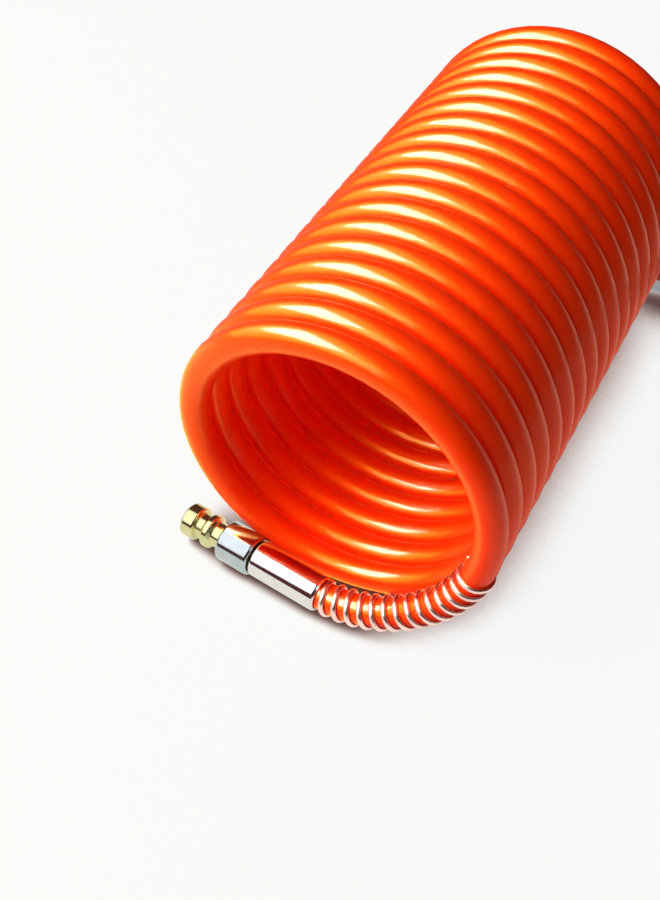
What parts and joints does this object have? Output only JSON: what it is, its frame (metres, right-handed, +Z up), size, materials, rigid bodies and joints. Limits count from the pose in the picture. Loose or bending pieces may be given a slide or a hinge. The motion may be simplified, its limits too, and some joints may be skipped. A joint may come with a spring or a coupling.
{
  "type": "coiled air hose",
  "caption": "Close-wound recoil air hose with a swivelling plug at one end, a locking quick coupler at the other, and wire guards where the hose meets its fittings.",
  "frame": {"origin": "centre of the part's footprint, on the floor that the coil lies on", "axes": "+Y along the coil's axis from the plug's end to the coupler's end, +Z up, +X the way the coupler points"},
  "size_m": [0.1714, 0.2262, 0.1148],
  "materials": {
    "hose": "glossy, slightly translucent polyurethane",
    "polished_chrome": "polished",
    "yellow_zinc": "bright yellow-passivated zinc plate",
    "spring_steel": "bright drawn wire",
    "brass": "machined",
    "black_rubber": "matte moulded",
    "white_nylon": "matte"
  },
  "bodies": {
    "near_end": {"hose_near_tail": "hose", "near_spring_guard": "spring_steel", "near_ferrule_sleeve": "polished_chrome", "near_hose_stem": "brass", "near_swivel_collar": "polished_chrome", "near_swivel_washer": "white_nylon"},
    "plug": {"plug_nipple": "yellow_zinc", "near_o_ring": "black_rubber"},
    "turn_02": {"coil_turn_02": "hose"},
    "turn_03": {"coil_turn_03": "hose"},
    "turn_04": {"coil_turn_04": "hose"},
    "turn_05": {"coil_turn_05": "hose"},
    "turn_06": {"coil_turn_06": "hose"},
    "turn_07": {"coil_turn_07": "hose"},
    "turn_08": {"coil_turn_08": "hose"},
    "turn_09": {"coil_turn_09": "hose"},
    "turn_10": {"coil_turn_10": "hose"},
    "turn_11": {"coil_turn_11": "hose"},
    "turn_12": {"coil_turn_12": "hose"},
    "turn_13": {"coil_turn_13": "hose"},
    "turn_14": {"coil_turn_14": "hose"},
    "turn_15": {"coil_turn_15": "hose"},
    "turn_16": {"coil_turn_16": "hose"},
    "turn_17": {"coil_turn_17": "hose"},
    "far_end": {"hose_far_tail": "hose", "far_spring_guard": "spring_steel", "far_ferrule_sleeve": "polished_chrome", "far_hose_stem": "brass", "far_swivel_collar": "polished_chrome", "far_swivel_washer": "white_nylon"},
    "coupler": {"coupler_body": "polished_chrome", "coupler_tail": "brass", "tail_gasket": "black_rubber", "mouth_seal": "black_rubber", "far_o_ring": "black_rubber", "snap_ring": "spring_steel", "sleeve_spring": "spring_steel", "valve_spring": "spring_steel"},
    "lock_ring": {"locking_sleeve": "polished_chrome"},
    "valve": {"valve_poppet": "brass", "valve_seal": "black_rubber"},
    "ball_1": {"locking_ball_1": "spring_steel"},
    "ball_2": {"locking_ball_2": "spring_steel"},
    "ball_3": {"locking_ball_3": "spring_steel"},
    "ball_4": {"locking_ball_4": "spring_steel"}
  },
  "joints": [
    {"name": "coil_stretch", "type": "slide", "parent": "near_end", "child": "far_end", "axis": [0, 1, 0], "range_m": [0, 1.8], "stiffness_N_per_m": 10, "springref_m": -0.1},
    {"name": "plug_swivel", "type": "hinge", "parent": "near_end", "child": "plug", "pos_m": [-0.06594, -0.10101, 0.0074], "axis": [-0.9907, 0.1357, 0], "continuous": true},
    {"name": "coupler_swivel", "type": "hinge", "parent": "far_end", "child": "coupler", "pos_m": [0.02971, 0.10093, 0.0124], "axis": [1, 0, 0], "continuous": true},
    {"name": "lock_ring_slide", "type": "slide", "parent": "coupler", "child": "lock_ring", "axis": [-1, 0, 0], "range_m": [0, 0.004], "stiffness_N_per_m": 600, "springref_m": -0.006, "deforming": ["sleeve_spring"]},
    {"name": "valve_slide", "type": "slide", "parent": "coupler", "child": "valve", "axis": [-1, 0, 0], "range_m": [0, 0.003], "stiffness_N_per_m": 400, "springref_m": -0.004, "deforming": ["valve_spring"]},
    {"name": "turn_02_slide", "type": "slide", "parent": "near_end", "child": "turn_02", "axis": [0, 1, 0], "range_m": [0, 0.1505]},
    {"name": "turn_03_slide", "type": "slide", "parent": "near_end", "child": "turn_03", "axis": [0, 1, 0], "range_m": [0, 0.2505]},
    {"name": "turn_04_slide", "type": "slide", "parent": "near_end", "child": "turn_04", "axis": [0, 1, 0], "range_m": [0, 0.3505]},
    {"name": "turn_05_slide", "type": "slide", "parent": "near_end", "child": "turn_05", "axis": [0, 1, 0], "range_m": [0, 0.4505]},
    {"name": "turn_06_slide", "type": "slide", "parent": "near_end", "child": "turn_06", "axis": [0, 1, 0], "range_m": [0, 0.5505]},
    {"name": "turn_07_slide", "type": "slide", "parent": "near_end", "child": "turn_07", "axis": [0, 1, 0], "range_m": [0, 0.6505]},
    {"name": "turn_08_slide", "type": "slide", "parent": "near_end", "child": "turn_08", "axis": [0, 1, 0], "range_m": [0, 0.7505]},
    {"name": "turn_09_slide", "type": "slide", "parent": "near_end", "child": "turn_09", "axis": [0, 1, 0], "range_m": [0, 0.8505]},
    {"name": "turn_10_slide", "type": "slide", "parent": "near_end", "child": "turn_10", "axis": [0, 1, 0], "range_m": [0, 0.9505]},
    {"name": "turn_11_slide", "type": "slide", "parent": "near_end", "child": "turn_11", "axis": [0, 1, 0], "range_m": [0, 1.0505]},
    {"name": "turn_12_slide", "type": "slide", "parent": "near_end", "child": "turn_12", "axis": [0, 1, 0], "range_m": [0, 1.1505]},
    {"name": "turn_13_slide", "type": "slide", "parent": "near_end", "child": "turn_13", "axis": [0, 1, 0], "range_m": [0, 1.2505]},
    {"name": "turn_14_slide", "type": "slide", "parent": "near_end", "child": "turn_14", "axis": [0, 1, 0], "range_m": [0, 1.3505]},
    {"name": "turn_15_slide", "type": "slide", "parent": "near_end", "child": "turn_15", "axis": [0, 1, 0], "range_m": [0, 1.4505]},
    {"name": "turn_16_slide", "type": "slide", "parent": "near_end", "child": "turn_16", "axis": [0, 1, 0], "range_m": [0, 1.5505]},
    {"name": "turn_17_slide", "type": "slide", "parent": "near_end", "child": "turn_17", "axis": [0, 1, 0], "range_m": [0, 1.6505]},
    {"name": "ball_1_slide", "type": "slide", "parent": "coupler", "child": "ball_1", "axis": [0, 1, 0], "range_m": [0, 0.0009]},
    {"name": "ball_2_slide", "type": "slide", "parent": "coupler", "child": "ball_2", "axis": [0, 0, 1], "range_m": [0, 0.0009]},
    {"name": "ball_3_slide", "type": "slide", "parent": "coupler", "child": "ball_3", "axis": [0, -1, 0], "range_m": [0, 0.0009]},
    {"name": "ball_4_slide", "type": "slide", "parent": "coupler", "child": "ball_4", "axis": [0, 0, -1], "range_m": [0, 0.0009]}
  ],
  "couplings": [
    {"joint": "turn_02_slide", "follows": "coil_stretch", "ratio": 0.083333},
    {"joint": "turn_03_slide", "follows": "coil_stretch", "ratio": 0.13889},
    {"joint": "turn_04_slide", "follows": "coil_stretch", "ratio": 0.19444},
    {"joint": "turn_05_slide", "follows": "coil_stretch", "ratio": 0.25},
    {"joint": "turn_06_slide", "follows": "coil_stretch", "ratio": 0.30556},
    {"joint": "turn_07_slide", "follows": "coil_stretch", "ratio": 0.36111},
    {"joint": "turn_08_slide", "follows": "coil_stretch", "ratio": 0.41667},
    {"joint": "turn_09_slide", "follows": "coil_stretch", "ratio": 0.47222},
    {"joint": "turn_10_slide", "follows": "coil_stretch", "ratio": 0.52778},
    {"joint": "turn_11_slide", "follows": "coil_stretch", "ratio": 0.58333},
    {"joint": "turn_12_slide", "follows": "coil_stretch", "ratio": 0.63889},
    {"joint": "turn_13_slide", "follows": "coil_stretch", "ratio": 0.69444},
    {"joint": "turn_14_slide", "follows": "coil_stretch", "ratio": 0.75},
    {"joint": "turn_15_slide", "follows": "coil_stretch", "ratio": 0.80556},
    {"joint": "turn_16_slide", "follows": "coil_stretch", "ratio": 0.86111},
    {"joint": "turn_17_slide", "follows": "coil_stretch", "ratio": 0.91667},
    {"joint": "ball_1_slide", "follows": "lock_ring_slide", "ratio": 0.225},
    {"joint": "ball_2_slide", "follows": "lock_ring_slide", "ratio": 0.225},
    {"joint": "ball_3_slide", "follows": "lock_ring_slide", "ratio": 0.225},
    {"joint": "ball_4_slide", "follows": "lock_ring_slide", "ratio": 0.225}
  ]
}
